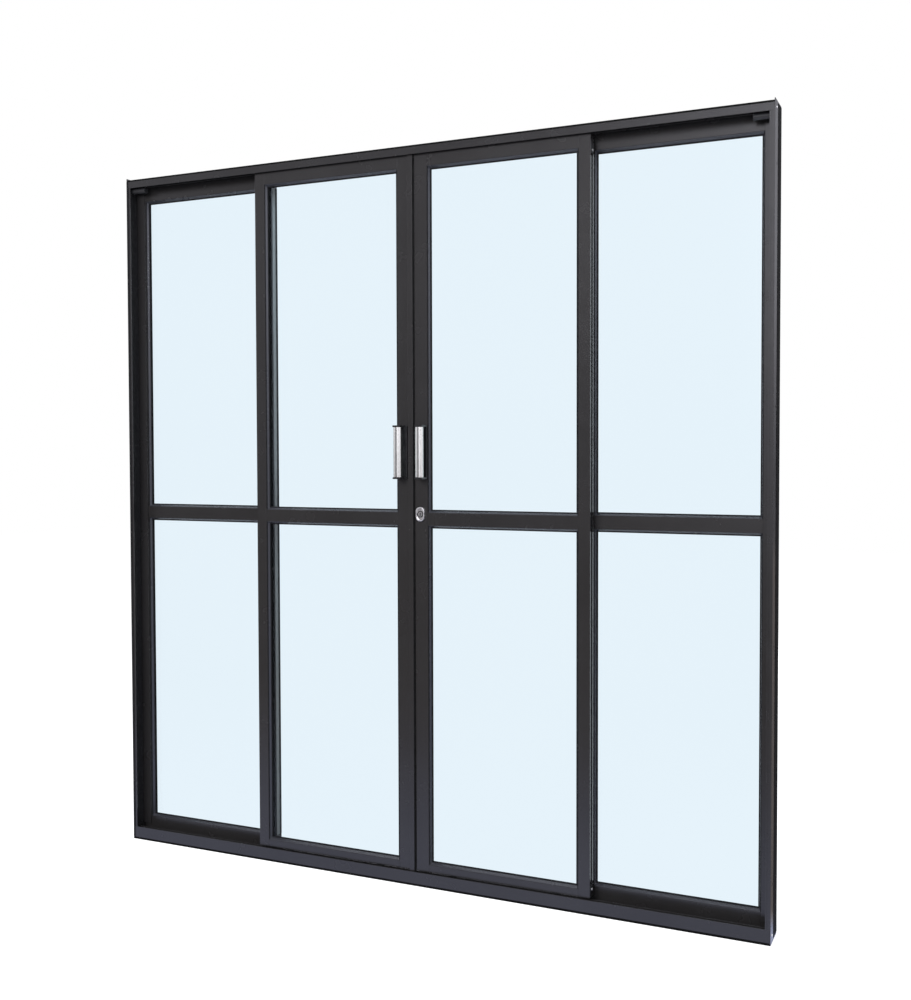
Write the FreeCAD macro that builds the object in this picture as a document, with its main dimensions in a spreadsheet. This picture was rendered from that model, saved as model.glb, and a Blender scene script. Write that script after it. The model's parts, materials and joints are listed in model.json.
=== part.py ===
import FreeCAD, Part
import math
import os
import re
import Sketcher

# Four-leaf sliding patio door in an aluminium frame, millimetres.
# X runs along the door, Y through it with the front at minus Y, Z up from the underside of the sill.

SIZES = {
    # Frame: a head and a sill between two jambs
    "frame_width": 2000,
    "frame_height": 2100,
    "frame_depth": 90,
    "frame_wall": 2,
    "frame_web": 3,
    "jamb_overrun": 5,
    "jamb_lip": 14,
    "head_fascia": 25,
    "sill_lip": 40,
    "pocket_reach": 32,
    "pocket_clearance": 2,
    "rib_thickness": 3,
    "head_step": 5,
    "sill_step": 6.5,
    "step_depth": 1,
    "lip_groove": 3,
    "lip_groove_edge": 7,
    "head_rib": 24,
    "sill_rib": 36,
    "seat_width": 20,
    "seat_height": 24,
    # Fixing holes through the jambs
    "fixing_hole": 6.5,
    "fixing_setback": 25,
    "fixing_end": 150,
    # Leaves: where they stand in the depth and width of the frame
    "front_margin": 11,
    "rear_margin": 11,
    "leaf_gap": 12,
    "slide_overlap": 25,
    "fixed_overlap": 11,
    "jamb_gap": 5,
    "meeting_left": 6,
    "meeting_right": 7.5,
    "leaf_lift": 5.5,
    "top_gap": -8,
    "fixed_drop": 14,
    # Leaf members
    "tube_wall": 1.6,
    "meeting_stile": 39.7,
    "interlock_stile": 32.7,
    "jamb_stile": 27.5,
    "lower_sight": 62.5,
    "upper_drop": 59.5,
    "mid_offset": 0,
    "mid_rail": 36,
    "channel_width": 14,
    "top_channel": 22,
    "bottom_channel": 18,
    "notch_depth": 13,
    "fin_length": 2.8,
    "fin_wall": 2,
    "seal_groove_width": 12,
    "seal_groove_depth": 3,
    # Glass and the sloping beads that hold it
    "glass_thickness": 6,
    "glass_play": 3,
    "bead_width": 7,
    "bead_edge": 1,
    "bead_recess": 1,
    # Wheels under the sliding leaves and guides over them
    "wheel_radius": 12,
    "wheel_width": 8,
    "wheel_groove": 4,
    "wheel_groove_depth": 3,
    "axle_radius": 3,
    "wheel_inset": 70,
    "running_gap": 0.3,
    "guide_length": 40,
    "guide_height": 20,
    "guide_slot": 4,
    "guide_slot_play": 2,
    "guide_inset": 50,
    # Bump stops on the head rib
    "stop_diameter": 18,
    "stop_length": 55,
    "stop_drop": 30,
    "stop_ring": 4,
    "stop_ring_height": 1,
    # Strip that covers the gap between the sliding leaves
    "astragal_width": 16,
    "astragal_lap": 7,
    "astragal_thickness": 4,
    "astragal_leg": 3,
    "astragal_leg_depth": 24,
    "astragal_overrun": 5,
    # Pull handles
    "handle_length": 151.5,
    "handle_rise": 189.5,
    "handle_inset": 0.5,
    "handle_base_width": 31.5,
    "handle_base": 6,
    "handle_reach": 36,
    "handle_cap": 5,
    "bar_width": 23,
    "bar_thickness": 11,
    "bar_dome": 5,
    "bar_round": 1.5,
    "base_round": 5,
    # Cylinder lock
    "lock_rise": 14,
    "lock_backset": 18,
    "lock_width": 26,
    "lock_height": 40,
    "lock_proud": 7,
    "lock_round": 12.5,
    "lock_rim": 1.5,
    "lock_border": 3,
    "lock_dish_depth": 4,
    "plug_diameter": 13,
    "plug_proud": 1.5,
    "plug_play": 0.3,
    "key_slot_width": 2.4,
    "key_slot_height": 9,
    "key_slot_depth": 6,
    "key_eye": 4.2,
}

DERIVED = {
    "leaf_depth": "(frame_depth - front_margin - rear_margin - leaf_gap) / 2",
}

FRONT = "(0 - frame_depth / 2)"
REAR = "(frame_depth / 2)"
SLIDE_FACE = "(front_margin - frame_depth / 2)"
SLIDE_MID = "(front_margin + leaf_depth / 2 - frame_depth / 2)"
FIXED_FACE = "(front_margin + leaf_depth + leaf_gap - frame_depth / 2)"
FIXED_MID = "(front_margin + leaf_depth * 3 / 2 + leaf_gap - frame_depth / 2)"
POCKET_FRONT = f"({FIXED_FACE} - pocket_clearance - frame_wall)"
POCKET_REAR = f"({FIXED_FACE} + leaf_depth + pocket_clearance)"

SLIDE_BOTTOM = "(sill_rib + leaf_lift)"
SLIDE_TOP = "(frame_height - head_fascia - top_gap)"
FIXED_BOTTOM = "seat_height"
FIXED_TOP = "(frame_height - fixed_drop)"
LOWER_SIGHT = "lower_sight"
UPPER_SIGHT = "(frame_height - upper_drop)"
MID_LEVEL = "(frame_height / 2 + mid_offset)"
MID_LOW = f"({MID_LEVEL} - mid_rail / 2)"
MID_HIGH = f"({MID_LEVEL} + mid_rail / 2)"

SLIDE_EDGE = "(frame_width / 4 + slide_overlap)"
FIXED_EDGE = "(frame_width / 4 - fixed_overlap)"
JAMB_EDGE = "(frame_width / 2 - jamb_gap)"

LOCK_ACROSS = "(meeting_right + lock_backset)"
LOCK_LEVEL = f"({MID_LEVEL} + lock_rise)"
HANDLE_LEVEL = f"({MID_LEVEL} + handle_rise)"

FIXING_COUNT = 4
FIXING_PITCH = f"((frame_height - 2 * fixing_end) / {FIXING_COUNT - 1})"

LEFT = "-1"
RIGHT = "1"
SIDES = {"left": LEFT, "right": RIGHT}

doc = FreeCAD.newDocument("PatioDoor")
sheet = doc.addObject("Spreadsheet::Sheet", "Sizes")
cells = {name: str(size) for name, size in SIZES.items()}
cells.update({name: f"={text}" for name, text in DERIVED.items()})
for row, (name, content) in enumerate(cells.items(), start=1):
    sheet.set(f"A{row}", name)
    sheet.set(f"B{row}", content)
    sheet.setAlias(f"B{row}", name)
doc.recompute()

subparts = []


def linked(text):
    """Expression text with each size name pointed at its cell."""
    return re.sub(r"[a-z_]+", lambda word: "Sizes." + word.group(), text)


def value(text):
    """Number that an expression gives now."""
    return float(sheet.evalExpression(linked(text)))


def times(sign, text):
    """Expression multiplied by a side's sign."""
    return f"{sign} * ({text})"


def new_body(label):
    body = doc.addObject("PartDesign::Body", label)
    body.Label = label
    return body


def place(thing, across="0", through="0", up="0"):
    """Bind a sub-part's position to the sizes."""
    for axis, text in (("x", across), ("y", through), ("z", up)):
        thing.setExpression(f"Placement.Base.{axis}", linked(text))


def new_sketch(body, role, offset="0"):
    """Sketch on one of the body's origin planes, moved along its normal."""
    planes = {feature.Role: feature for feature in body.Origin.OriginFeatures}
    sketch = body.newObject("Sketcher::SketchObject", "Section")
    sketch.AttachmentSupport = [(planes[role], "")]
    sketch.MapMode = "FlatFace"
    sketch.setExpression("AttachmentOffset.Base.z", linked(offset))
    return sketch


def add_loop(sketch, corners):
    """Closed outline through corners, each a pair of expressions."""
    first = sketch.GeometryCount
    count = len(corners)
    points = [FreeCAD.Vector(value(across), value(up), 0) for across, up in corners]
    for index in range(count):
        sketch.addGeometry(Part.LineSegment(points[index], points[(index + 1) % count]), False)
    for index in range(count):
        following = first + (index + 1) % count
        sketch.addConstraint(Sketcher.Constraint("Coincident", first + index, 2, following, 1))
    for index, (across, up) in enumerate(corners):
        point = points[index]
        for kind, text, distance in (("DistanceX", across, point.x), ("DistanceY", up, point.y)):
            number = sketch.addConstraint(Sketcher.Constraint(kind, -1, 1, first + index, 1, distance))
            sketch.setExpression(f"Constraints[{number}]", linked(text))


def add_circle(sketch, across, up, diameter):
    """Circle whose centre and diameter are expressions."""
    centre = FreeCAD.Vector(value(across), value(up), 0)
    circle = Part.Circle(centre, FreeCAD.Vector(0, 0, 1), value(diameter) / 2)
    number = sketch.addGeometry(circle, False)
    for kind, text, distance in (("DistanceX", across, centre.x), ("DistanceY", up, centre.y)):
        bound = sketch.addConstraint(Sketcher.Constraint(kind, -1, 1, number, 3, distance))
        sketch.setExpression(f"Constraints[{bound}]", linked(text))
    bound = sketch.addConstraint(Sketcher.Constraint("Diameter", number, value(diameter)))
    sketch.setExpression(f"Constraints[{bound}]", linked(diameter))


def add_oval(sketch, width, height):
    """Upright oval about the sketch's own origin: two half circles joined by straight sides."""
    radius = value(width) / 2
    reach = value(height) / 2 - radius
    normal = FreeCAD.Vector(0, 0, 1)
    top = Part.Circle(FreeCAD.Vector(0, reach, 0), normal, radius)
    bottom = Part.Circle(FreeCAD.Vector(0, 0 - reach, 0), normal, radius)
    corners = [FreeCAD.Vector(x, y, 0) for x, y in (
        (radius, reach), (-radius, reach), (-radius, -reach), (radius, -reach))]
    upper = sketch.addGeometry(Part.ArcOfCircle(top, 0, math.pi), False)
    left = sketch.addGeometry(Part.LineSegment(corners[1], corners[2]), False)
    lower = sketch.addGeometry(Part.ArcOfCircle(bottom, math.pi, 2 * math.pi), False)
    right = sketch.addGeometry(Part.LineSegment(corners[3], corners[0]), False)
    for first, second in ((upper, left), (lower, right)):
        sketch.addConstraint(Sketcher.Constraint("Tangent", first, 2, second, 1))
    for first, second in ((left, lower), (right, upper)):
        sketch.addConstraint(Sketcher.Constraint("Tangent", first, 2, second, 1))
    sketch.addConstraint(Sketcher.Constraint("Symmetric", upper, 3, lower, 3, -1, 1))
    sketch.addConstraint(Sketcher.Constraint("PointOnObject", upper, 3, -2))
    size = sketch.addConstraint(Sketcher.Constraint("Radius", upper, radius))
    sketch.setExpression(f"Constraints[{size}]", linked(f"({width}) / 2"))
    rise = sketch.addConstraint(Sketcher.Constraint("DistanceY", -1, 1, upper, 3, reach))
    sketch.setExpression(f"Constraints[{rise}]", linked(f"({height}) / 2 - ({width}) / 2"))


def add_domed(sketch, width, crown, thickness, dome):
    """Section from the sketch's axis to a signed width, flat behind and bowed by the dome towards the crown."""
    far = value(width)
    shoulder = value(f"{crown} + {dome}")
    back = value(f"{crown} + {thickness}")
    corners = [FreeCAD.Vector(x, y, 0) for x, y in ((0, shoulder), (0, back), (far, back), (far, shoulder))]
    crest = FreeCAD.Vector(far / 2, value(crown), 0)
    for first, second in zip(corners, corners[1:]):
        sketch.addGeometry(Part.LineSegment(first, second), False)
    bow = sketch.addGeometry(Part.Arc(corners[3], crest, corners[0]), False)
    for index in (0, 1):
        sketch.addConstraint(Sketcher.Constraint("Coincident", index, 2, index + 1, 1))
    spots = [("0", f"{crown} + {dome}", 0, 1), ("0", f"{crown} + {thickness}", 0, 2),
             (width, f"{crown} + {thickness}", 1, 2), (width, f"{crown} + {dome}", 2, 2)]
    for across, up, line, end in spots:
        for kind, text in (("DistanceX", across), ("DistanceY", up)):
            number = sketch.addConstraint(Sketcher.Constraint(kind, -1, 1, line, end, value(text)))
            sketch.setExpression(f"Constraints[{number}]", linked(text))
    ends = {1: sketch.getPoint(bow, 1), 2: sketch.getPoint(bow, 2)}
    for line, end, corner in ((0, 1, corners[0]), (2, 2, corners[3])):
        nearest = min(ends, key=lambda number: ends[number].distanceToPoint(corner))
        sketch.addConstraint(Sketcher.Constraint("Coincident", bow, nearest, line, end))
    radius = f"(({width}) * ({width}) / 4 + {dome} * {dome}) / (2 * {dome})"
    number = sketch.addConstraint(Sketcher.Constraint("Radius", bow, value(radius)))
    sketch.setExpression(f"Constraints[{number}]", linked(radius))


def rectangle(low_across, low_up, high_across, high_up):
    """Corners of a rectangle for add_loop."""
    return [(low_across, low_up), (high_across, low_up), (high_across, high_up), (low_across, high_up)]


def centred(width, height):
    """Corners of a rectangle about the sketch's own origin."""
    return rectangle(f"0 - ({width}) / 2", f"0 - ({height}) / 2", f"({width}) / 2", f"({height}) / 2")


def pad(body, sketch, length):
    feature = body.newObject("PartDesign::Pad", "Pad")
    feature.Profile = sketch
    feature.setExpression("Length", linked(length))
    return feature


def pocket(body, sketch, depth, reverse=False):
    feature = body.newObject("PartDesign::Pocket", "Pocket")
    feature.Profile = sketch
    feature.Reversed = reverse
    feature.setExpression("Length", linked(depth))
    return feature


def round_edges(body, feature, radius, direction):
    """Fillet every straight edge of the feature that runs along a direction."""
    doc.recompute()
    names = []
    for number, edge in enumerate(feature.Shape.Edges, start=1):
        if isinstance(edge.Curve, Part.Line) and abs(edge.Curve.Direction.dot(direction)) > 0.99:
            names.append(f"Edge{number}")
    fillet = body.newObject("PartDesign::Fillet", "Fillet")
    fillet.Base = (feature, names)
    fillet.setExpression("Radius", linked(radius))
    return fillet


def round_rim(body, feature, radius, outward):
    """Fillet the outline of the feature's outermost face in a direction."""
    doc.recompute()
    top = max(feature.Shape.Faces, key=lambda face: face.CenterOfMass.dot(outward))
    names = []
    for number, edge in enumerate(feature.Shape.Edges, start=1):
        if any(edge.isSame(side) for side in top.Edges):
            names.append(f"Edge{number}")
    fillet = body.newObject("PartDesign::Fillet", "Rim")
    fillet.Base = (feature, names)
    fillet.setExpression("Radius", linked(radius))
    return fillet


def finish(thing):
    """Count a document object as one sub-part of the door."""
    subparts.append(thing)
    return thing


def gather(label, bodies):
    """Several like pieces as one sub-part."""
    compound = doc.addObject("Part::Compound", label)
    compound.Label = label
    compound.Links = bodies
    return finish(compound)


def head_track():
    """Head: two channels open downwards, the rib that guides the leaves, a rebate along the top edge."""
    top = "frame_height"
    web = "frame_height - frame_web"
    low = "frame_height - head_fascia"
    rib = "frame_height - head_rib"
    body = new_body("head_track")
    sketch = new_sketch(body, "YZ_Plane")
    add_loop(sketch, [
        (f"{FRONT} + step_depth", top),
        (f"{FRONT} + step_depth", "frame_height - head_step"),
        (FRONT, "frame_height - head_step"),
        (FRONT, low),
        (f"{FRONT} + frame_wall", low),
        (f"{FRONT} + frame_wall", web),
        (f"{SLIDE_MID} - rib_thickness / 2", web),
        (f"{SLIDE_MID} - rib_thickness / 2", rib),
        (f"{SLIDE_MID} + rib_thickness / 2", rib),
        (f"{SLIDE_MID} + rib_thickness / 2", web),
        (POCKET_FRONT, web),
        (POCKET_FRONT, low),
        (f"{POCKET_FRONT} + frame_wall", low),
        (f"{POCKET_FRONT} + frame_wall", web),
        (f"{REAR} - frame_wall", web),
        (f"{REAR} - frame_wall", low),
        (REAR, low),
        (REAR, top),
    ])
    pad(body, sketch, "frame_width - 2 * frame_wall")
    place(body, across="frame_wall - frame_width / 2")
    finish(body)


def sill_track():
    """Sill: a tray with the running rib in front, a hollow seat behind, a rebate along the bottom edge."""
    seat_front = f"{FIXED_MID} - seat_width / 2"
    seat_rear = f"{FIXED_MID} + seat_width / 2"
    body = new_body("sill_track")
    sketch = new_sketch(body, "YZ_Plane")
    add_loop(sketch, [
        (f"{FRONT} + step_depth", "0"),
        (REAR, "0"),
        (REAR, "sill_lip"),
        (f"{REAR} - frame_wall", "sill_lip"),
        (f"{REAR} - frame_wall", "frame_web"),
        (seat_rear, "frame_web"),
        (seat_rear, "seat_height"),
        (seat_front, "seat_height"),
        (seat_front, "frame_web"),
        (f"{SLIDE_MID} + rib_thickness / 2", "frame_web"),
        (f"{SLIDE_MID} + rib_thickness / 2", "sill_rib"),
        (f"{SLIDE_MID} - rib_thickness / 2", "sill_rib"),
        (f"{SLIDE_MID} - rib_thickness / 2", "frame_web"),
        (f"{FRONT} + frame_wall", "frame_web"),
        (f"{FRONT} + frame_wall", "sill_lip"),
        (FRONT, "sill_lip"),
        (FRONT, "sill_step"),
        (f"{FRONT} + step_depth", "sill_step"),
    ])
    add_loop(sketch, rectangle(
        f"{seat_front} + frame_wall", "frame_web", f"{seat_rear} - frame_wall", "seat_height - frame_wall"))
    pad(body, sketch, "frame_width - 2 * frame_wall")
    place(body, across="frame_wall - frame_width / 2")
    finish(body)


def jamb(side, sign):
    """Jamb: a full-height web, grooved lips and the pocket of the fixed leaf between sill and head."""

    def from_outside(text):
        return times(sign, f"frame_width / 2 - ({text})")

    outside = from_outside("0")
    inside = from_outside("frame_wall")
    groove_outside = from_outside("lip_groove_edge")
    groove_inside = from_outside("lip_groove_edge + lip_groove")
    lip = from_outside("jamb_lip")
    reach = from_outside("pocket_reach")
    body = new_body(f"{side}_jamb")
    web = new_sketch(body, "XY_Plane")
    add_loop(web, rectangle(outside, FRONT, inside, REAR))
    pad(body, web, "frame_height + jamb_overrun")
    section = new_sketch(body, "XY_Plane", "sill_lip")
    add_loop(section, [
        (outside, FRONT),
        (groove_outside, FRONT),
        (groove_outside, f"{FRONT} + step_depth"),
        (groove_inside, f"{FRONT} + step_depth"),
        (groove_inside, FRONT),
        (lip, FRONT),
        (lip, f"{FRONT} + frame_wall"),
        (inside, f"{FRONT} + frame_wall"),
        (inside, POCKET_FRONT),
        (reach, POCKET_FRONT),
        (reach, f"{POCKET_FRONT} + frame_wall"),
        (inside, f"{POCKET_FRONT} + frame_wall"),
        (inside, POCKET_REAR),
        (reach, POCKET_REAR),
        (reach, f"{POCKET_REAR} + frame_wall"),
        (inside, f"{POCKET_REAR} + frame_wall"),
        (inside, f"{REAR} - frame_wall"),
        (lip, f"{REAR} - frame_wall"),
        (lip, REAR),
        (outside, REAR),
    ])
    pad(body, section, "frame_height - head_fascia - sill_lip")
    holes = new_sketch(body, "YZ_Plane", times(sign, "frame_width / 2 - frame_wall"))
    for number in range(FIXING_COUNT):
        level = f"fixing_end + {number} * {FIXING_PITCH}"
        add_circle(holes, f"{FRONT} + fixing_setback", level, "fixing_hole")
    pocket(body, holes, "frame_wall", reverse=(sign == RIGHT))
    finish(body)


def bump_stop(side, sign):
    """Rubber stop on the head rib, against the jamb, with a raised ring at its free end."""
    body = new_body(f"{side}_bump_stop")
    barrel = new_sketch(body, "YZ_Plane")
    add_circle(barrel, SLIDE_MID, "frame_height - stop_drop", "stop_diameter")
    pad(body, barrel, "stop_length")
    end = "0" if sign == RIGHT else "stop_length - stop_ring"
    ring = new_sketch(body, "YZ_Plane", end)
    add_circle(ring, SLIDE_MID, "frame_height - stop_drop", "stop_diameter + 2 * stop_ring_height")
    pad(body, ring, "stop_ring")
    slot = new_sketch(body, "YZ_Plane")
    add_loop(slot, rectangle(
        f"{SLIDE_MID} - rib_thickness / 2", "frame_height - head_rib",
        f"{SLIDE_MID} + rib_thickness / 2", "frame_height"))
    pocket(body, slot, "stop_length", reverse=True)
    if sign == RIGHT:
        place(body, across="frame_width / 2 - frame_wall - stop_length")
    else:
        place(body, across="frame_wall - frame_width / 2")
    return finish(body)


def upright(label, sign, near, far, face, low, high, outline=None, groove="0"):
    """Stile: an extruded tube between two distances from the door's centre line."""
    body = new_body(label)
    sketch = new_sketch(body, "XY_Plane")
    if outline is None:
        outline = rectangle(near, face, far, f"{face} + leaf_depth")
    add_loop(sketch, [(times(sign, across), through) for across, through in outline])
    add_loop(sketch, rectangle(
        times(sign, f"{near} + tube_wall"), f"{face} + tube_wall",
        times(sign, f"{far} - {groove} - tube_wall"), f"{face} + leaf_depth - tube_wall"))
    pad(body, sketch, f"{high} - {low}")
    place(body, up=low)
    return body


def notch(body, sign, near, far):
    """Opening at the top of a sliding stile for the rib of the head."""
    start = near if sign == RIGHT else f"0 - {far}"
    sketch = new_sketch(body, "YZ_Plane", start)
    height = f"{SLIDE_TOP} - {SLIDE_BOTTOM}"
    add_loop(sketch, rectangle(
        f"{SLIDE_MID} - channel_width / 2", f"{height} - notch_depth",
        f"{SLIDE_MID} + channel_width / 2", height))
    pocket(body, sketch, f"{far} - {near}", reverse=True)


def rail(label, sign, near, far, outline, hollow=None):
    """Rail: a section extruded between the two stiles of a leaf."""
    body = new_body(label)
    sketch = new_sketch(body, "YZ_Plane")
    add_loop(sketch, outline)
    if hollow:
        add_loop(sketch, hollow)
    pad(body, sketch, f"{far} - {near}")
    place(body, across=near if sign == RIGHT else f"0 - {far}")
    return finish(body)


def tube_rail(label, sign, near, far, face, low, high):
    """Rail of plain tube."""
    outline = rectangle(face, low, f"{face} + leaf_depth", high)
    hollow = rectangle(
        f"{face} + tube_wall", f"{low} + tube_wall", f"{face} + leaf_depth - tube_wall", f"{high} - tube_wall")
    rail(label, sign, near, far, outline, hollow)


def pane(label, sign, near, far, middle, low, high):
    """Sheet of glass with some play on every side."""
    body = new_body(label)
    sketch = new_sketch(body, "XZ_Plane", "0 - glass_thickness / 2")
    add_loop(sketch, centred(f"{far} - {near} - 2 * glass_play", f"{high} - {low} - 2 * glass_play"))
    pad(body, sketch, "glass_thickness")
    place(body, times(sign, f"({near} + {far}) / 2"), middle, f"({low} + {high}) / 2")
    finish(body)


def bead_ring(label, sign, near, far, middle, low, high, rear):
    """Glazing bead: a ring that slopes from the face of the leaf down to the glass."""
    width = f"{far} - {near}"
    height = f"{high} - {low}"
    depth = "leaf_depth / 2 - glass_thickness / 2 - bead_recess"
    body = new_body(label)
    block = new_sketch(body, "XZ_Plane")
    add_loop(block, centred(width, height))
    pad(body, block, depth)
    at_glass = new_sketch(body, "XZ_Plane")
    add_loop(at_glass, centred(f"{width} - 2 * bead_width", f"{height} - 2 * bead_width"))
    at_face = new_sketch(body, "XZ_Plane", depth)
    add_loop(at_face, centred(f"{width} - 2 * bead_edge", f"{height} - 2 * bead_edge"))
    opening = body.newObject("PartDesign::SubtractiveLoft", "Slope")
    opening.Profile = at_glass
    opening.Sections = [at_face]
    opening.Ruled = True
    surface = f"{middle} - glass_thickness / 2"
    if rear:
        body.Placement.Rotation = FreeCAD.Rotation(FreeCAD.Vector(0, 0, 1), 180)
        surface = f"{middle} + glass_thickness / 2"
    place(body, times(sign, f"({near} + {far}) / 2"), surface, f"({low} + {high}) / 2")
    return body


def glazing(leaf, sign, near, far, middle):
    """Upper and lower pane of a leaf, and the beads on both faces of each."""
    rings = []
    for level, low, high in (("upper", MID_HIGH, UPPER_SIGHT), ("lower", LOWER_SIGHT, MID_LOW)):
        pane(f"{leaf}_{level}_glass", sign, near, far, middle, low, high)
        for face in ("front", "rear"):
            name = f"{leaf}_{level}_{face}_bead"
            rings.append(bead_ring(name, sign, near, far, middle, low, high, face == "rear"))
    gather(f"{leaf}_glazing_beads", rings)


def fixed_leaf(side, sign):
    """Outer leaf: stands on the seat of the sill, with one stile in the pocket of the jamb."""
    leaf = f"{side}_fixed"
    near = f"({FIXED_EDGE} + interlock_stile)"
    far = f"({JAMB_EDGE} - jamb_stile)"
    finish(upright(f"{leaf}_jamb_stile", sign, far, JAMB_EDGE, FIXED_FACE, FIXED_BOTTOM, FIXED_TOP))
    interlock = upright(
        f"{leaf}_interlock_stile", sign, FIXED_EDGE, near, FIXED_FACE, FIXED_BOTTOM, FIXED_TOP)
    fin = new_sketch(interlock, "XY_Plane", f"{SLIDE_BOTTOM} - {FIXED_BOTTOM}")
    add_loop(fin, rectangle(
        times(sign, FIXED_EDGE), f"{FIXED_FACE} - fin_length",
        times(sign, f"{FIXED_EDGE} + fin_wall"), FIXED_FACE))
    pad(interlock, fin, f"frame_height - head_fascia - pocket_clearance - {SLIDE_BOTTOM}")
    finish(interlock)
    tube_rail(f"{leaf}_top_rail", sign, near, far, FIXED_FACE, UPPER_SIGHT, FIXED_TOP)
    tube_rail(f"{leaf}_mid_rail", sign, near, far, FIXED_FACE, MID_LOW, MID_HIGH)
    tube_rail(f"{leaf}_bottom_rail", sign, near, far, FIXED_FACE, FIXED_BOTTOM, LOWER_SIGHT)
    glazing(leaf, sign, near, far, FIXED_MID)


def sliding_interlock(leaf, sign, far):
    """Outer stile of a sliding leaf: a seal groove in its side and a fin behind."""
    rear = f"{SLIDE_FACE} + leaf_depth"
    edge = SLIDE_EDGE
    floor = f"{SLIDE_EDGE} - seal_groove_depth"
    outline = [
        (far, SLIDE_FACE),
        (edge, SLIDE_FACE),
        (edge, f"{SLIDE_MID} - seal_groove_width / 2"),
        (floor, f"{SLIDE_MID} - seal_groove_width / 2"),
        (floor, f"{SLIDE_MID} + seal_groove_width / 2"),
        (edge, f"{SLIDE_MID} + seal_groove_width / 2"),
        (edge, f"{rear} + fin_length"),
        (f"{edge} - fin_wall", f"{rear} + fin_length"),
        (f"{edge} - fin_wall", rear),
        (far, rear),
    ]
    body = upright(
        f"{leaf}_interlock_stile", sign, far, edge, SLIDE_FACE, SLIDE_BOTTOM, SLIDE_TOP,
        outline, "seal_groove_depth")
    notch(body, sign, far, edge)
    finish(body)


def sliding_rails(leaf, sign, near, far):
    """Top rail open upwards for the guides, plain mid rail, bottom rail open downwards for the wheels."""
    rear = f"{SLIDE_FACE} + leaf_depth"
    front_wall = f"{SLIDE_MID} - channel_width / 2"
    rear_wall = f"{SLIDE_MID} + channel_width / 2"
    floor = f"{SLIDE_TOP} - top_channel"
    rail(f"{leaf}_top_rail", sign, near, far, [
        (SLIDE_FACE, UPPER_SIGHT),
        (rear, UPPER_SIGHT),
        (rear, SLIDE_TOP),
        (rear_wall, SLIDE_TOP),
        (rear_wall, floor),
        (front_wall, floor),
        (front_wall, SLIDE_TOP),
        (SLIDE_FACE, SLIDE_TOP),
    ], rectangle(
        f"{SLIDE_FACE} + tube_wall", f"{UPPER_SIGHT} + tube_wall", f"{rear} - tube_wall", f"{floor} - tube_wall"))
    tube_rail(f"{leaf}_mid_rail", sign, near, far, SLIDE_FACE, MID_LOW, MID_HIGH)
    ceiling = f"{SLIDE_BOTTOM} + bottom_channel"
    rail(f"{leaf}_bottom_rail", sign, near, far, [
        (SLIDE_FACE, LOWER_SIGHT),
        (rear, LOWER_SIGHT),
        (rear, SLIDE_BOTTOM),
        (rear_wall, SLIDE_BOTTOM),
        (rear_wall, ceiling),
        (front_wall, ceiling),
        (front_wall, SLIDE_BOTTOM),
        (SLIDE_FACE, SLIDE_BOTTOM),
    ])


def wheel(label, across):
    """Grooved wheel with its axle, standing on the running rib of the sill."""
    half_axle = "channel_width / 2"
    half_wheel = "wheel_width / 2"
    half_groove = "wheel_groove / 2"
    running = "wheel_radius - wheel_groove_depth"
    body = new_body(label)
    sketch = new_sketch(body, "XY_Plane")
    add_loop(sketch, [
        ("0", f"0 - {half_axle}"),
        ("axle_radius", f"0 - {half_axle}"),
        ("axle_radius", f"0 - {half_wheel}"),
        ("wheel_radius", f"0 - {half_wheel}"),
        ("wheel_radius", f"0 - {half_groove}"),
        (running, f"0 - {half_groove}"),
        (running, half_groove),
        ("wheel_radius", half_groove),
        ("wheel_radius", half_wheel),
        ("axle_radius", half_wheel),
        ("axle_radius", half_axle),
        ("0", half_axle),
    ])
    turned = body.newObject("PartDesign::Revolution", "Wheel")
    turned.Profile = sketch
    turned.ReferenceAxis = (sketch, ["V_Axis"])
    turned.Angle = 360
    place(body, across, SLIDE_MID, f"sill_rib + running_gap + {running}")
    return body


def top_guide(label, across):
    """Block in the top channel with a slot for the rib of the head."""
    floor = f"{SLIDE_TOP} - top_channel"
    slot = "frame_height - head_rib - guide_slot_play"
    roof = f"{floor} + guide_height"
    body = new_body(label)
    sketch = new_sketch(body, "YZ_Plane")
    add_loop(sketch, [
        (f"{SLIDE_MID} - channel_width / 2", floor),
        (f"{SLIDE_MID} + channel_width / 2", floor),
        (f"{SLIDE_MID} + channel_width / 2", roof),
        (f"{SLIDE_MID} + guide_slot / 2", roof),
        (f"{SLIDE_MID} + guide_slot / 2", slot),
        (f"{SLIDE_MID} - guide_slot / 2", slot),
        (f"{SLIDE_MID} - guide_slot / 2", roof),
        (f"{SLIDE_MID} - channel_width / 2", roof),
    ])
    pad(body, sketch, "guide_length")
    place(body, across=f"{across} - guide_length / 2")
    return body


def running_gear(leaf, sign, near, far):
    """Two wheels below and two guides above, near the ends of the leaf."""
    pieces = []
    for end, wheel_at, guide_at in (
            ("inner", f"{near} + wheel_inset", f"{near} + guide_inset"),
            ("outer", f"{far} - wheel_inset", f"{far} - guide_inset")):
        pieces.append(wheel(f"{leaf}_{end}_wheel", times(sign, wheel_at)))
        pieces.append(top_guide(f"{leaf}_{end}_guide", times(sign, guide_at)))
    gather(f"{leaf}_running_gear", pieces)


def handle_bracket(label, hand):
    """Base plate with a cap at each end that holds the bar."""
    body = new_body(label)
    base = new_sketch(body, "XZ_Plane")
    add_loop(base, rectangle(
        "0", "0 - handle_length / 2", times(hand, "handle_base_width"), "handle_length / 2"))
    plate = pad(body, base, "handle_base")
    round_edges(body, plate, "base_round", FreeCAD.Vector(0, 1, 0))
    for low in ("0 - handle_length / 2", "handle_length / 2 - handle_cap"):
        cap = new_sketch(body, "XZ_Plane", "handle_base / 2")
        add_loop(cap, rectangle("0", low, times(hand, "bar_width"), f"{low} + handle_cap"))
        pad(body, cap, "handle_reach - handle_base / 2")
    return body


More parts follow.
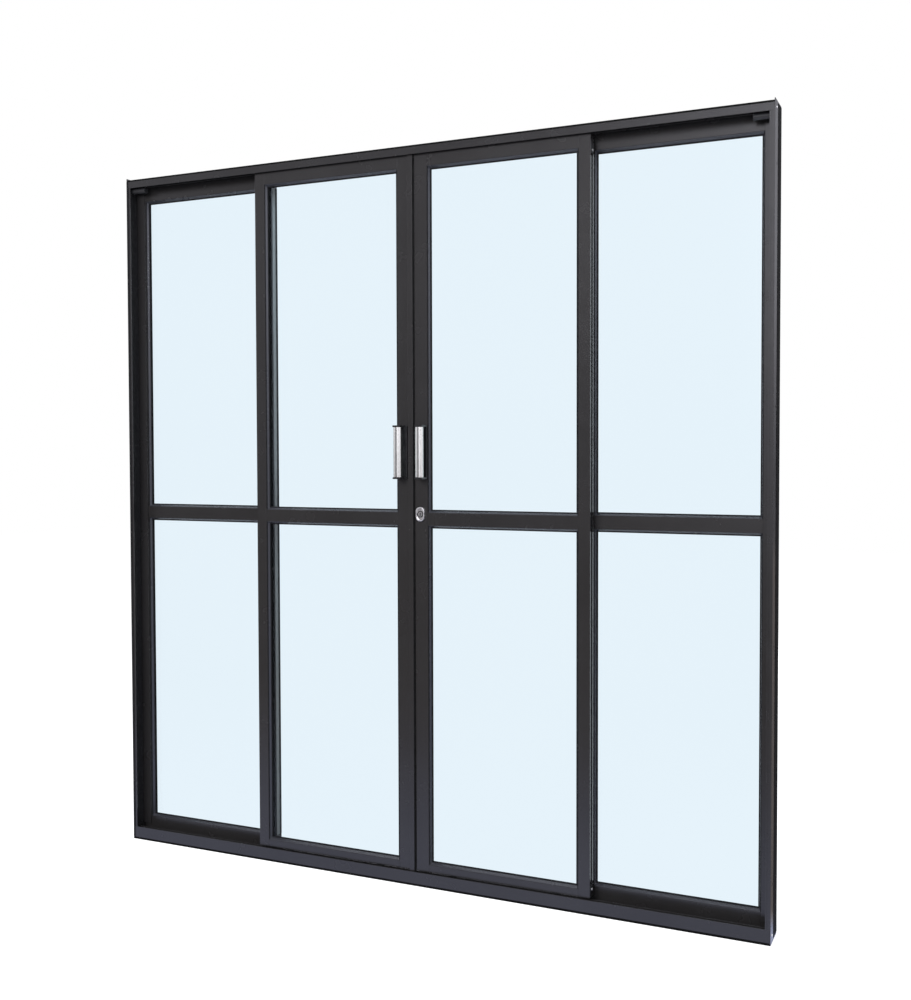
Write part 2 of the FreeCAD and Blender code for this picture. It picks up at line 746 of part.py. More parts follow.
def handle_bar(label, hand):
    """Bar with a domed front between the caps."""
    body = new_body(label)
    sketch = new_sketch(body, "XY_Plane", "handle_cap - handle_length / 2")
    add_domed(sketch, times(hand, "bar_width"), "0 - handle_reach", "bar_thickness", "bar_dome")
    length = pad(body, sketch, "handle_length - 2 * handle_cap")
    round_edges(body, length, "bar_round", FreeCAD.Vector(0, 0, 1))
    return body


def handles(side, sign, near, far):
    """Pull handle on both faces of a meeting stile: the front bar is by the glass, the rear one by the gap."""
    brackets = []
    bars = []
    inward = LEFT if sign == RIGHT else RIGHT
    for face, through, turn, from_gap in (
            ("front", SLIDE_FACE, 0, f"{far} - handle_inset"),
            ("rear", f"{SLIDE_FACE} + leaf_depth", 180, f"{near} + handle_inset")):
        edge = times(sign, from_gap)
        bracket = handle_bracket(f"{side}_{face}_handle_bracket", inward)
        bar = handle_bar(f"{side}_{face}_handle_bar", inward)
        for piece in (bracket, bar):
            piece.Placement.Rotation = FreeCAD.Rotation(FreeCAD.Vector(0, 0, 1), turn)
            place(piece, edge, through, HANDLE_LEVEL)
        brackets.append(bracket)
        bars.append(bar)
    gather(f"{side}_handle_brackets", brackets)
    gather(f"{side}_handle_bars", bars)


def astragal(left_edge):
    """Cover strip on the left leaf: a flange over the meeting gap and a leg beside the stile."""
    lap = f"{left_edge} - astragal_lap"
    body = new_body("meeting_astragal")
    flange = new_sketch(body, "XY_Plane")
    add_loop(flange, rectangle(lap, f"{SLIDE_FACE} - astragal_thickness", f"{lap} + astragal_width", SLIDE_FACE))
    pad(body, flange, f"{SLIDE_TOP} - {SLIDE_BOTTOM} + 2 * astragal_overrun")
    leg = new_sketch(body, "XY_Plane", "astragal_overrun")
    add_loop(leg, rectangle(
        left_edge, SLIDE_FACE, f"{left_edge} + astragal_leg", f"{SLIDE_FACE} + astragal_leg_depth"))
    pad(body, leg, f"{SLIDE_TOP} - {SLIDE_BOTTOM} - notch_depth")
    place(body, up=f"{SLIDE_BOTTOM} - astragal_overrun")
    finish(body)


def escutcheon(face, through, turn):
    """Oval lock plate with a rounded rim and a dished face round the plug."""
    body = new_body(f"lock_{face}_escutcheon")
    outline = new_sketch(body, "XZ_Plane")
    add_loop(outline, centred("lock_width", "lock_height"))
    block = pad(body, outline, "lock_proud")
    oval = round_edges(body, block, "lock_round", FreeCAD.Vector(0, 1, 0))
    round_rim(body, oval, "lock_rim", FreeCAD.Vector(0, -1, 0))
    dish = new_sketch(body, "XZ_Plane", "lock_proud")
    add_oval(dish, "lock_width - 2 * lock_border", "lock_height - 2 * lock_border")
    pocket(body, dish, "lock_dish_depth")
    bore = new_sketch(body, "XZ_Plane", "lock_proud")
    add_circle(bore, "0", "0", "plug_diameter + 2 * plug_play")
    pocket(body, bore, "lock_proud")
    body.Placement.Rotation = FreeCAD.Rotation(FreeCAD.Vector(0, 0, 1), turn)
    place(body, LOCK_ACROSS, through, LOCK_LEVEL)
    return body


def lock(stile):
    """Cylinder lock through the right meeting stile: two plates and the plug that turns in them."""
    bore = new_sketch(stile, "XZ_Plane", f"0 - ({SLIDE_FACE} + leaf_depth)")
    add_circle(bore, LOCK_ACROSS, f"{LOCK_LEVEL} - {SLIDE_BOTTOM}", "plug_diameter + 2 * plug_play")
    pocket(stile, bore, "leaf_depth", reverse=True)
    rear = f"{SLIDE_FACE} + leaf_depth"
    gather("lock_escutcheons", [escutcheon("front", SLIDE_FACE, 0), escutcheon("rear", rear, 180)])
    length = "leaf_depth + 2 * (lock_proud - lock_dish_depth + plug_proud)"
    plug = new_body("lock_plug")
    barrel = new_sketch(plug, "XZ_Plane", f"0 - ({length}) / 2")
    add_circle(barrel, "0", "0", "plug_diameter")
    pad(plug, barrel, length)
    for start, reverse in ((f"({length}) / 2", False), (f"0 - ({length}) / 2", True)):
        slot = new_sketch(plug, "XZ_Plane", start)
        add_loop(slot, centred("key_slot_width", "key_slot_height"))
        pocket(plug, slot, "key_slot_depth", reverse)
        eye = new_sketch(plug, "XZ_Plane", start)
        add_circle(eye, "0", "key_slot_height / 2 - key_eye / 2", "key_eye")
        pocket(plug, eye, "key_slot_depth", reverse)
    place(plug, LOCK_ACROSS, SLIDE_MID, LOCK_LEVEL)
    finish(plug)


def sliding_leaf(side, sign, near):
    """Inner leaf: hangs between the rib of the head and its wheels on the rib of the sill."""
    leaf = f"{side}_sliding"
    meeting = f"({near} + meeting_stile)"
    interlock = f"({SLIDE_EDGE} - interlock_stile)"
    sliding_interlock(leaf, sign, interlock)
    stile = upright(f"{leaf}_meeting_stile", sign, near, meeting, SLIDE_FACE, SLIDE_BOTTOM, SLIDE_TOP)
    notch(stile, sign, near, meeting)
    finish(stile)
    sliding_rails(leaf, sign, meeting, interlock)
    glazing(leaf, sign, meeting, interlock, SLIDE_MID)
    running_gear(leaf, sign, meeting, interlock)
    handles(side, sign, near, meeting)
    return stile


head_track()
sill_track()
for side, sign in SIDES.items():
    jamb(side, sign)
    bump_stop(side, sign)
    fixed_leaf(side, sign)
sliding_leaf("left", LEFT, "meeting_left")
astragal("(0 - meeting_left)")
lock(sliding_leaf("right", RIGHT, "meeting_right"))
doc.recompute()

for thing in doc.Objects:
    if "Invalid" in thing.State or "Error" in thing.State:
        raise RuntimeError(f"{thing.Label} failed: {thing.State}")
for thing in subparts:
    if thing.Shape.isNull() or not thing.Shape.isValid():
        raise RuntimeError(f"{thing.Label} has no valid shape")
os.makedirs("parts", exist_ok=True)
for thing in subparts:
    thing.Shape.exportStep(f"parts/{thing.Label}.step")
print(len(subparts), "sub-parts,", round(sum(thing.Shape.Volume for thing in subparts) / 1e9, 5), "cubic metres")
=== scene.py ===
import json
import math
import random

import bmesh
import bpy
from mathutils import Matrix, Vector

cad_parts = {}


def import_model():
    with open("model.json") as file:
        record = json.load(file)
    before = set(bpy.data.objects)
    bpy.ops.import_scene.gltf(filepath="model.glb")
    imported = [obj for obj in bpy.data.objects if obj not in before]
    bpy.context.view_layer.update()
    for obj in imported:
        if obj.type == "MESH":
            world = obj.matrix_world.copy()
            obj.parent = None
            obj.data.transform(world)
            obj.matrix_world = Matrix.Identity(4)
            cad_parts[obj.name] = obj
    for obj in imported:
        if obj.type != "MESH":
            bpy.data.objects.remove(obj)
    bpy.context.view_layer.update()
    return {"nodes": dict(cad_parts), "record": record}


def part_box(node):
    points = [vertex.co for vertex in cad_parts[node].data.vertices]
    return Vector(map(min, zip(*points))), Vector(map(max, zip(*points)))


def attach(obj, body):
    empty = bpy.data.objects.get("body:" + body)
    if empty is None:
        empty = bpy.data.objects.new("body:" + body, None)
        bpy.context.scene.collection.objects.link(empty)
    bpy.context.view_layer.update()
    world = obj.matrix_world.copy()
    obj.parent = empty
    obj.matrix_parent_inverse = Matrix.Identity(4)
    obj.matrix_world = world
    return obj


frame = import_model()
nodes = frame["nodes"]
scene = bpy.context.scene

# Places read from the carried-over nodes, in millimetres

MM = 0.001
X, Y, Z = 0, 1, 2
SIDES = {"left": -1, "right": 1}
SINK = 0.2


def span(name, axis):
    """Lowest and highest place of a node along an axis."""
    low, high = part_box(name)
    return low[axis] / MM, high[axis] / MM


def openings(leaf, outer_stile, inner_stile):
    """A leaf's glass openings: across, and its two levels."""
    edges = sorted([*span(f"{leaf}_{outer_stile}", X), *span(f"{leaf}_{inner_stile}", X)])
    mid = span(f"{leaf}_mid_rail", Z)
    levels = ((span(f"{leaf}_bottom_rail", Z)[1], mid[0]), (mid[1], span(f"{leaf}_top_rail", Z)[0]))
    return (edges[1], edges[2]), levels


LEAF_KINDS = ("sliding", "fixed")
LEAF_FACES = {kind: span(f"right_{kind}_mid_rail", Y) for kind in LEAF_KINDS}
GLASS_FACES = {kind: span(f"right_{kind}_upper_glass", Y) for kind in LEAF_KINDS}
LEAF_MIDDLE = sum(LEAF_FACES["sliding"]) / 2
LEAF_STILES = {"sliding": ("interlock_stile", "meeting_stile"), "fixed": ("jamb_stile", "interlock_stile")}
INTERLOCK_EDGE = span("right_sliding_interlock_stile", X)[1]
MEETING_EDGE = span("right_sliding_meeting_stile", X)[0]
JAMB_FACE = span("right_jamb", X)[1]
FRAME_FRONT, FRAME_REAR = span("right_jamb", Y)
HEAD_TOP = span("head_track", Z)[1]
SILL_HALF = span("sill_track", X)[1]


# Node materials

NOISE_RANGE = (0.3, 0.7)


def node(tree, kind, inputs=None, **settings):
    """Adds a shader node; an input is a plain value or the socket that feeds it."""
    made = tree.nodes.new("ShaderNode" + kind)
    for name, setting in settings.items():
        setattr(made, name, setting)
    for name, given in (inputs or {}).items():
        if isinstance(given, bpy.types.NodeSocket):
            tree.links.new(given, made.inputs[name])
        else:
            made.inputs[name].default_value = given
    return made


def noise(tree, scale, detail, stretch=(1, 1, 1)):
    """Noise in the object's own coordinates, in metres."""
    where = node(tree, "TexCoord").outputs["Object"]
    placed = node(tree, "Mapping", {"Vector": where, "Scale": stretch}).outputs["Vector"]
    return node(tree, "TexNoise", {"Vector": placed, "Scale": scale, "Detail": detail}).outputs[0]


def spread(tree, source, low, high, given_range=NOISE_RANGE):
    """Maps a range of a value, such as the middle of a noise, to another range."""
    start, end = given_range
    given = {"Value": source, "From Min": start, "From Max": end, "To Min": low, "To Max": high}
    return node(tree, "MapRange", given).outputs["Result"]


def tones(tree, source, first, second):
    """Blends two colours by a noise or another value."""
    ramp = node(tree, "ValToRGB", {"Fac": source})
    for stop, place, colour in zip(ramp.color_ramp.elements, NOISE_RANGE, (first, second)):
        stop.position = place
        stop.color = (*colour, 1)
    return ramp.outputs["Color"]


def bump(tree, height, distance, strength, over=None):
    """Surface relief of a height map, in millimetres, on top of another one."""
    given = {"Height": height, "Distance": distance * MM, "Strength": strength}
    if over:
        given["Normal"] = over
    return node(tree, "Bump", given).outputs["Normal"]


def surface(name, build):
    """A material whose tree and Principled inputs come from a function."""
    material = bpy.data.materials.new(name)
    material.use_nodes = True
    tree = material.node_tree
    tree.nodes.clear()
    shader = node(tree, "BsdfPrincipled", build(tree))
    node(tree, "OutputMaterial", {"Surface": shader.outputs["BSDF"]})
    return material


def powder_coat(first, second):
    """Satin powder coat: orange peel, fine grain and slow changes of tone."""
    def build(tree):
        slow = noise(tree, 3.5, 3)
        peel = noise(tree, 620, 2)
        grain = noise(tree, 2600, 1)
        relief = bump(tree, peel, 0.02, 0.2)
        return {
            "Base Color": tones(tree, slow, first, second),
            "Roughness": spread(tree, noise(tree, 20, 2), 0.23, 0.28),
            "Normal": bump(tree, grain, 0.006, 0.2, relief),
        }
    return build


def brushed(first, second, rough):
    """Brushed and anodised aluminium, drawn along Z."""
    def build(tree):
        lines = noise(tree, 1500, 1, (1, 1, 0.015))
        cloud = noise(tree, 60, 3)
        return {
            "Base Color": tones(tree, lines, first, second),
            "Metallic": 1.0,
            "Roughness": spread(tree, cloud, *rough),
            "Normal": bump(tree, lines, 0.01, 0.3),
        }
    return build


def plated(first, second, rough):
    """Bright plated metal with faint polishing marks and dull patches."""
    def build(tree):
        marks = noise(tree, 900, 4)
        dull = noise(tree, 130, 3)
        return {
            "Base Color": tones(tree, dull, first, second),
            "Metallic": 1.0,
            "Roughness": spread(tree, dull, *rough),
            "Normal": bump(tree, marks, 0.006, 0.5),
        }
    return build


def moulded(first, second, rough, scale=900, relief=0.03, specular=0.5):
    """Moulded plastic or rubber with a fine grain."""
    def build(tree):
        grain = noise(tree, scale, 3)
        return {
            "Base Color": tones(tree, noise(tree, 70, 4), first, second),
            "Roughness": spread(tree, noise(tree, 160, 3), *rough),
            "Specular IOR Level": specular,
            "Normal": bump(tree, grain, relief, 0.7),
        }
    return build


def fibres(first, second):
    """Pile of short fibres that stand across the strip."""
    def build(tree):
        strands = noise(tree, 1500, 4, (0.15, 0.6, 1))
        return {
            "Base Color": tones(tree, strands, first, second),
            "Roughness": spread(tree, strands, 0.8, 1.0),
            "Specular IOR Level": 0.1,
            "Normal": bump(tree, strands, 0.35, 0.9),
        }
    return build


def float_glass(name):
    """Tinted float glass with a faint waviness; lamps shine through it."""
    def build(tree):
        wave = noise(tree, 2.2, 1, (1, 1, 0.6))
        haze = noise(tree, 30, 4)
        return {
            "Base Color": tones(tree, noise(tree, 1.3, 1), (0.787, 0.892, 0.962), (0.795, 0.898, 0.966)),
            "Roughness": spread(tree, haze, 0.0, 0.006),
            "IOR": 1.5,
            "Specular Tint": (0.15, 0.15, 0.15, 1),
            "Transmission Weight": 1.0,
            "Normal": bump(tree, wave, 0.3, 0.25),
        }
    material = surface(name, build)
    tree = material.node_tree
    shader = next(n for n in tree.nodes if n.bl_idname == "ShaderNodeBsdfPrincipled")
    output = next(n for n in tree.nodes if n.bl_idname == "ShaderNodeOutputMaterial")
    shadow = node(tree, "LightPath").outputs["Is Shadow Ray"]
    clear = node(tree, "BsdfTransparent", {"Color": (0.86, 0.93, 0.96, 1)}).outputs["BSDF"]
    mixed = node(tree, "MixShader", {0: shadow, 1: shader.outputs["BSDF"], 2: clear})
    tree.links.new(mixed.outputs["Shader"], output.inputs["Surface"])
    return material


FINISHES = {
    "frame_coating": surface("frame_coating", powder_coat((0.0192, 0.018, 0.0188), (0.0242, 0.023, 0.024))),
    "leaf_coating": surface("leaf_coating", powder_coat((0.0192, 0.0178, 0.0182), (0.0242, 0.0228, 0.0233))),
    # Bead coat: the leaf coat made lighter and bluer, a painted sheen of the light on the bead slopes.
    "bead_coating": surface("bead_coating", powder_coat((0.036, 0.037, 0.045), (0.044, 0.045, 0.054))),
    "clear_glass": float_glass("clear_glass"),
    "handle_plastic": surface(
        "handle_plastic", moulded((0.008, 0.008, 0.0085), (0.013, 0.013, 0.014), (0.28, 0.4))),
    "handle_metal": surface(
        "handle_metal", brushed((0.77, 0.765, 0.72), (0.83, 0.825, 0.78), (0.2, 0.26))),
    "lock_chrome": surface("lock_chrome", plated((0.88, 0.87, 0.85), (0.94, 0.93, 0.91), (0.24, 0.34))),
    "lock_metal": surface("lock_metal", plated((0.66, 0.65, 0.63), (0.78, 0.77, 0.74), (0.26, 0.36))),
    "stop_rubber": surface(
        "stop_rubber", moulded((0.026, 0.026, 0.028), (0.034, 0.034, 0.037), (0.38, 0.5), 500, 0.06)),
    "nylon": surface("nylon", moulded((0.012, 0.012, 0.013), (0.019, 0.019, 0.02), (0.4, 0.55))),
}
# Black rubber for glazing rings and seals, and for strips that paint the shade at the beads and inside the
# jambs.
RUBBER_AND_SHADE = surface(
    "seal_rubber_and_painted_shade", moulded((0.005, 0.005, 0.0055), (0.009, 0.009, 0.0095), (0.6, 0.8), 700, 0.05, 0.25))
# Warm grey toned against the glass tint: a painted highlight on the sides of the fixed interlock stiles.
PAINTED_HIGHLIGHT_GREY = surface(
    "painted_highlight_grey", moulded((0.245, 0.225, 0.21), (0.285, 0.265, 0.25), (0.6, 0.8), 700, 0.05, 0.25))
PILE = surface("pile_fibre", fibres((0.004, 0.004, 0.004), (0.014, 0.014, 0.015)))
# Matte black for the jamb tape and the rebate strips, and for the painted shade over the meeting gap.
BLACK_TAPE_AND_SHADE = surface(
    "black_tape_and_painted_shade", moulded((0.004, 0.004, 0.004), (0.008, 0.008, 0.008), (0.85, 1.0), 1300, 0.12, 0.1))
ZINC = surface("zinc_screw", plated((0.6, 0.6, 0.58), (0.72, 0.72, 0.7), (0.28, 0.4)))


# Carried-over nodes: finish and softened edges

WELD_REACH = 0.01
FLAT_DEGREES = 0.5
SHARP_DEGREES = 35
BEVEL_STEPS = 2
LARGE_FACES_LEAD = 100


def soften(piece, width):
    """Joins flat neighbours and rounds the sharp edges by a width in millimetres."""
    weld = piece.modifiers.new("weld", "WELD")
    weld.merge_threshold = WELD_REACH * MM
    flat = piece.modifiers.new("flat", "DECIMATE")
    flat.decimate_type = "DISSOLVE"
    flat.angle_limit = math.radians(FLAT_DEGREES)
    edge = piece.modifiers.new("edge", "BEVEL")
    edge.width = width * MM
    edge.segments = BEVEL_STEPS
    edge.limit_method = "ANGLE"
    edge.angle_limit = math.radians(SHARP_DEGREES)
    edge.use_clamp_overlap = True
    normals = piece.modifiers.new("normals", "WEIGHTED_NORMAL")
    normals.keep_sharp = False
    normals.weight = LARGE_FACES_LEAD


EDGE_WIDTHS = {
    "frame_coating": 0.7,
    "leaf_coating": 0.7,
    "bead_coating": 0.3,
    "handle_plastic": 0.9,
    "handle_metal": 0.4,
    "lock_chrome": 0.35,
    "lock_metal": 0.25,
    "stop_rubber": 0.8,
    "nylon": 0.4,
}
for part in frame["record"]["subparts"]:
    shown = nodes[part["node"]]
    finish = part["material_slot"]
    shown.data.materials.clear()
    shown.data.materials.append(FINISHES[finish])
    if finish in EDGE_WIDTHS:
        soften(shown, EDGE_WIDTHS[finish])


# Mesh helpers, in millimetres

class Form:
    """Vertices and faces of one piece."""

    def __init__(self):
        self.points = []
        self.faces = []

    def add(self, points, faces):
        start = len(self.points)
        self.points.extend(points)
        self.faces.extend([start + corner for corner in face] for face in faces)

    def loft(self, sections, loop=False):
        """A tube through closed sections; its ends are capped unless it loops."""
        size = len(sections[0])
        count = len(sections)
        faces = []
        for index in range(count if loop else count - 1):
            near = index * size
            far = (index + 1) % count * size
            for corner in range(size):
                after = (corner + 1) % size
                faces.append((near + corner, near + after, far + after, far + corner))
        if not loop:
            faces.append(tuple(range(size)))
            faces.append(tuple(range((count - 1) * size, count * size)))
        self.add([point for section in sections for point in section], faces)

    def piece(self, name, body, material, slot=None, edge=0.0, smooth=False):
        """Makes the object, which rides on a body."""
        mesh = bpy.data.meshes.new(name)
        mesh.from_pydata([[value * MM for value in point] for point in self.points], [], self.faces)
        sorter = bmesh.new()
        sorter.from_mesh(mesh)
        bmesh.ops.recalc_face_normals(sorter, faces=sorter.faces)
        sorter.to_mesh(mesh)
        sorter.free()
        made = bpy.data.objects.new(name, mesh)
        scene.collection.objects.link(made)
        mesh.materials.append(material)
        if smooth:
            mesh.shade_smooth()
        if edge:
            soften(made, edge)
        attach(made, body)


SCREW_RADIUS = 3.8
SCREW_HEIGHT = 1.7
SCREW_STEPS = 24
SCREW_PROFILE = ((1.0, 0.0), (1.0, 0.3), (0.93, 0.62), (0.8, 0.86), (0.62, 1.0))
RECESS_ARM = 0.5
RECESS_HALF = 0.11
RECESS_FLOOR = 0.35
RECESS_TAPER = 0.8


def screw_head(form, centre, outward):
    """Pan head with a cross recess; outward is the direction of its axis."""
    shape = bmesh.new()
    rings = []
    for reach, rise in SCREW_PROFILE:
        radius = SCREW_RADIUS * reach
        ring = []
        for step in range(SCREW_STEPS):
            angle = math.tau * step / SCREW_STEPS
            point = (radius * math.cos(angle), radius * math.sin(angle), SCREW_HEIGHT * rise)
            ring.append(shape.verts.new(point))
        rings.append(ring)
    for low, high in zip(rings, rings[1:]):
        for step in range(SCREW_STEPS):
            after = (step + 1) % SCREW_STEPS
            shape.faces.new((low[step], low[after], high[after], high[step]))
    shape.faces.new(list(reversed(rings[0])))
    arm = RECESS_ARM * SCREW_RADIUS
    half = RECESS_HALF * SCREW_RADIUS
    corner = [(arm, -half), (arm, half), (half, half)]
    outline = []
    for cosine, sine in ((1, 0), (0, 1), (-1, 0), (0, -1)):
        outline.extend((x * cosine - y * sine, x * sine + y * cosine) for x, y in corner)
    rim = [shape.verts.new((x, y, SCREW_HEIGHT)) for x, y in outline]
    depth = RECESS_FLOOR * SCREW_HEIGHT
    bottom = [shape.verts.new((RECESS_TAPER * x, RECESS_TAPER * y, depth)) for x, y in outline]
    edges = [shape.edges.new((rim[i], rim[(i + 1) % len(rim)])) for i in range(len(rim))]
    top = rings[-1]
    edges += [shape.edges.get((top[i], top[(i + 1) % SCREW_STEPS])) for i in range(SCREW_STEPS)]
    bmesh.ops.triangle_fill(shape, edges=edges, use_beauty=True)
    for i in range(len(rim)):
        after = (i + 1) % len(rim)
        shape.faces.new((rim[i], rim[after], bottom[after], bottom[i]))
    shape.faces.new(bottom)
    turn = Vector(outward).to_track_quat("Z", "Y").to_matrix()
    shape.verts.index_update()
    points = [tuple(Vector(centre) + turn @ vert.co) for vert in shape.verts]
    faces = [[vert.index for vert in face.verts] for face in shape.faces]
    form.add(points, faces)
    shape.free()


def bar(form, low, high, chamfer, axis):
    """A bar along an axis, with its long edges chamfered."""
    across = [index for index in range(3) if index != axis]
    first, second = across
    outline = []
    for near_first, near_second in ((0, 0), (1, 0), (1, 1), (0, 1)):
        corner = [(low, high)[near_first][first], (low, high)[near_second][second]]
        inward = [chamfer * (1 - 2 * near_first), chamfer * (1 - 2 * near_second)]
        pair = [(corner[0] + inward[0], corner[1]), (corner[0], corner[1] + inward[1])]
        if near_first == near_second:
            pair.reverse()
        outline.extend(pair)
    sections = []
    for place in (low[axis], high[axis]):
        section = []
        for values in outline:
            point = [0, 0, 0]
            point[axis] = place
            point[first], point[second] = values
            section.append(tuple(point))
        sections.append(section)
    form.loft(sections)


def strip(outline, ends):
    """A straight strip: its outline in X and Y, drawn between two heights."""
    form = Form()
    form.loft([[(x, y, z) for x, y in outline] for z in ends])
    return form


# Rubber glazing rings between the beads and the glass, and black strips between the beads and the stiles:
# painted shade of the groove there

GASKET = ((6.6, 0.0), (6.0, 1.6), (6.9, 2.2), (8.0, 1.8), (8.6, 0.8), (8.7, 0.0))
BEAD_SHADE_WIDTH = 2.4
BEAD_SHADE_HEIGHTS = (7.6, 10.4)
BEAD_SHADE_CHAMFER = 0.1


def gasket(form, across, level, face, outward):
    """A ring round a pane; its profile gives insets and heights over the glass face."""
    sections = []
    for far_x, far_z in ((0, 0), (1, 0), (1, 1), (0, 1)):
        section = []
        for inset, height in GASKET:
            x = across[far_x] + inset * (1 - 2 * far_x)
            z = level[far_z] + inset * (1 - 2 * far_z)
            section.append((x, face + outward * height, z))
        sections.append(section)
    form.loft(sections, loop=True)


def bead_shade_strips(form, across, level, face, outward):
    """A black strip on the bead along each stile, painted shade of the groove between bead and stile."""
    depths = sorted(face + outward * height for height in BEAD_SHADE_HEIGHTS)
    for edge, inward in zip(across, (1, -1)):
        sides = sorted((edge, edge + inward * BEAD_SHADE_WIDTH))
        low, high = zip(sides, depths, level)
        bar(form, low, high, BEAD_SHADE_CHAMFER, Z)


for side in SIDES:
    for kind, stiles in LEAF_STILES.items():
        across, levels = openings(f"{side}_{kind}", *stiles)
        form = Form()
        for level in levels:
            for face, outward in zip(GLASS_FACES[kind], (-1, 1)):
                gasket(form, across, level, face, outward)
                bead_shade_strips(form, across, level, face, outward)
        body = f"{side}_leaf" if kind == "sliding" else "frame"
        form.piece(f"{side}_{kind}_gaskets", body, RUBBER_AND_SHADE, "stop_rubber")


# Pile seals in the interlock stiles' side grooves

GROOVE_DEPTH = 3
PILE_SPAN = (76, 2024)
PILE_STEP = 3
PILE_SECTION = ((-5.7, 0.0), (-5.5, 0.7), (-2.5, 1.3), (0.5, 2.0), (3.5, 2.7), (5.6, 2.8), (5.7, 0.0))
PILE_ROUGHNESS = 0.25

for side, sign in SIDES.items():
    chance = random.Random(f"{side} pile")
    sections = []
    for place in range(PILE_SPAN[0], PILE_SPAN[1] + 1, PILE_STEP):
        section = []
        for through, height in PILE_SECTION:
            ruffle = chance.uniform(-PILE_ROUGHNESS, PILE_ROUGHNESS) if height else 0
            x = sign * (INTERLOCK_EDGE - GROOVE_DEPTH + height + ruffle)
            section.append((x, LEAF_MIDDLE + through + ruffle / 2, place))
        sections.append(section)
    form = Form()
    form.loft(sections)
    form.piece(f"{side}_interlock_pile", f"{side}_leaf", PILE, smooth=True)


# Pale warm-grey strips inside the fixed interlock stiles, a painted highlight, and flat seals, placed by
# distance from the leaf's rear face

FLAT_SEAL = (10, 1)
FLAT_HIGHLIGHT = (26.5, 11.5)
FLAT_THICK = 1
FLAT_CHAMFER = 0.3
FLAT_SPAN = (64, 2040)
FIXED_EDGE = span("right_fixed_interlock_stile", X)[0]

for side, sign in SIDES.items():
    edges = sorted((sign * FIXED_EDGE, sign * (FIXED_EDGE - FLAT_THICK)))
    rear = LEAF_FACES["fixed"][1]
    for name, depths, finish in (("seal", FLAT_SEAL, RUBBER_AND_SHADE), ("highlight_strip", FLAT_HIGHLIGHT, PAINTED_HIGHLIGHT_GREY)):
        form = Form()
        low = (edges[0], rear - depths[0], FLAT_SPAN[0])
        high = (edges[1], rear - depths[1], FLAT_SPAN[1])
        bar(form, low, high, FLAT_CHAMFER, Z)
        form.piece(f"{side}_fixed_interlock_{name}", "frame", finish, "stop_rubber")


# End blocks with a screw at the top and bottom of the interlock stiles

BLOCK_SPANS = ((2025, 2055), (44, 75))
BLOCK_SCREWS = (2035, 63)
BLOCK_PROUD = 1.4
BLOCK_INSET = 1
BLOCK_CHAMFER = 0.5
BLOCK_EDGE = 0.3

for side, sign in SIDES.items():
    blocks = Form()
    screws = Form()
    outer = sign * (INTERLOCK_EDGE + BLOCK_PROUD)
    front, rear = LEAF_FACES["sliding"]
    edges = sorted((sign * (INTERLOCK_EDGE - SINK), outer))
    for ends, level in zip(BLOCK_SPANS, BLOCK_SCREWS):
        low = (edges[0], front + BLOCK_INSET, ends[0])
        high = (edges[1], rear - BLOCK_INSET, ends[1])
        bar(blocks, low, high, BLOCK_CHAMFER, Z)
        screw_head(screws, (outer, LEAF_MIDDLE, level), (sign, 0, 0))
    plastic = FINISHES["handle_plastic"]
    blocks.piece(f"{side}_interlock_end_blocks", f"{side}_leaf", plastic, "handle_plastic", BLOCK_EDGE)
    screws.piece(f"{side}_interlock_screws", f"{side}_leaf", ZINC)


# Bulb seal on the right leaf's meeting edge, outlined by distance from the edge and from the leaf's middle

BULB = ((-0.2, 2), (1, 2), (1.4, 3), (2.6, 4), (3.2, 6), (3.2, 8), (2.6, 10), (1.4, 11), (1, 12), (-0.2, 12))
BULB_SPAN = (46, 2070)

bulb = strip([(MEETING_EDGE - out, LEAF_MIDDLE + through) for out, through in BULB], BULB_SPAN)
bulb.piece("right_meeting_bulb_seal", "right_leaf", RUBBER_AND_SHADE, "stop_rubber")


# Matte black strip on the cover strip's edge: painted shade over the meeting gap

GAP_SHADE_REACH = 4.8
GAP_SHADE_DEPTH = (1.0, 3.4)
GAP_SHADE_INSET = 1
GAP_SHADE_CHAMFER = 0.2
COVER_EDGE = span("meeting_astragal", X)[1]
COVER_FACE = span("meeting_astragal", Y)[0]
COVER_ENDS = span("meeting_astragal", Z)

gap_shade = Form()
low = (COVER_EDGE - SINK, COVER_FACE + GAP_SHADE_DEPTH[0], COVER_ENDS[0] + GAP_SHADE_INSET)
high = (COVER_EDGE + GAP_SHADE_REACH, COVER_FACE + GAP_SHADE_DEPTH[1], COVER_ENDS[1] - GAP_SHADE_INSET)
bar(gap_shade, low, high, GAP_SHADE_CHAMFER, Z)
gap_shade.piece("meeting_gap_shade_strip", "left_leaf", BLACK_TAPE_AND_SHADE)


# Lock: dark collar in the dish of each plate, dark keyway in each end of the plug

LOCK_FACES = span("lock_escutcheons", Y)
PLUG_SIDES = span("lock_plug", X)
PLUG_FACES = span("lock_plug", Y)
PLUG_RADIUS = (PLUG_SIDES[1] - PLUG_SIDES[0]) / 2
LOCK_MIDDLE = (sum(PLUG_SIDES) / 2, sum(span("lock_plug", Z)) / 2)
DISH_DEPTH = 4
COLLAR_RADII = (PLUG_RADIUS + 0.6, PLUG_RADIUS + 3.2)
COLLAR_THICK = 0.5
COLLAR_STEPS = 64
KEYWAY_HALF = (1.1, 4.3)
KEYWAY_DEPTH = (0.6, 1.6)
KEYWAY_CHAMFER = 0.2

